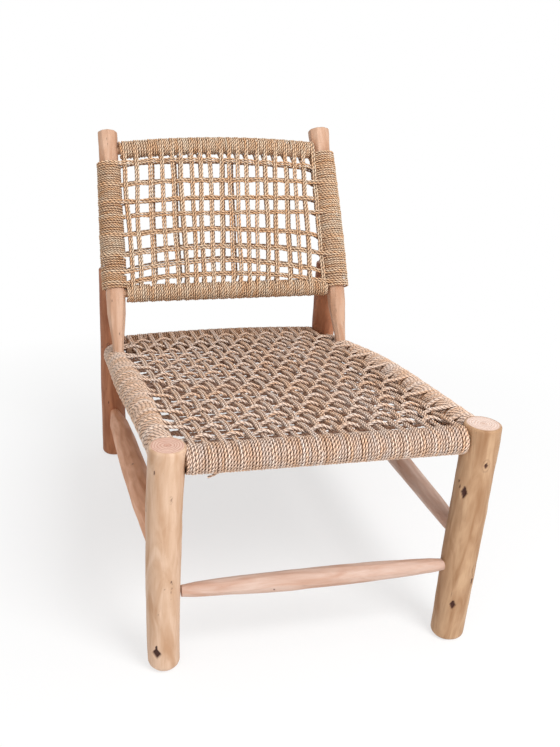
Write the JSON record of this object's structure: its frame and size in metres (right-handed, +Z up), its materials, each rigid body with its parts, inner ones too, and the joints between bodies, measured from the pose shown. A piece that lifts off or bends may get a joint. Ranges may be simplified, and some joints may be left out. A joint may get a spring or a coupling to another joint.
{
  "type": "low woven lounge chair",
  "caption": "Low armless lounge chair of peeled poles, with a reclined back and a sloping seat darned from twisted grass rope over rope-wound rails",
  "frame": {"origin": "on the floor, under the middle of the chair's bounding box", "axes": "+Z up, the chair faces -Y, +X runs to the right of someone who looks at its front"},
  "size_m": [0.558, 0.9326, 0.7348],
  "materials": {
    "leg_wood": "peeled log, dry and unvarnished, pale tan with knots and drying cracks",
    "rear_leg_wood": "peeled log, darker brown, dry and unvarnished",
    "upright_wood": "peeled pole, knife-whittled foot, dry and unvarnished",
    "peg_wood": "whittled hardwood peg",
    "rail_wood": "peeled pole under the rope",
    "stretcher_wood": "whittled pole, pinkish, dry and unvarnished",
    "rope": "two-ply twisted grass rope, straw coloured, matt and hairy"
  },
  "bodies": {
    "root": {"front_leg_left": "leg_wood", "front_leg_right": "leg_wood", "rear_leg_left": "rear_leg_wood", "rear_leg_right": "rear_leg_wood", "upright_left": "upright_wood", "upright_right": "upright_wood", "upright_peg_left": "peg_wood", "upright_peg_right": "peg_wood", "seat_front_rail": "rail_wood", "seat_rear_rail": "rail_wood", "seat_side_rail_left": "rail_wood", "seat_side_rail_right": "rail_wood", "back_bottom_rail": "rail_wood", "back_top_rail": "rail_wood", "front_stretcher": "stretcher_wood", "rear_stretcher": "stretcher_wood", "side_stretcher_left": "stretcher_wood", "side_stretcher_right": "stretcher_wood", "seat_front_winding": "rope", "seat_rear_winding": "rope", "seat_side_winding_left": "rope", "seat_side_winding_right": "rope", "back_bottom_winding": "rope", "back_top_winding": "rope", "upright_winding_left": "rope", "upright_winding_right": "rope", "seat_warps_top": "rope", "seat_wefts_top": "rope", "seat_warps_bottom": "rope", "seat_wefts_bottom": "rope", "back_warps_front": "rope", "back_wefts_front": "rope", "back_warps_rear": "rope", "back_wefts_rear": "rope"}
  },
  "joints": []
}
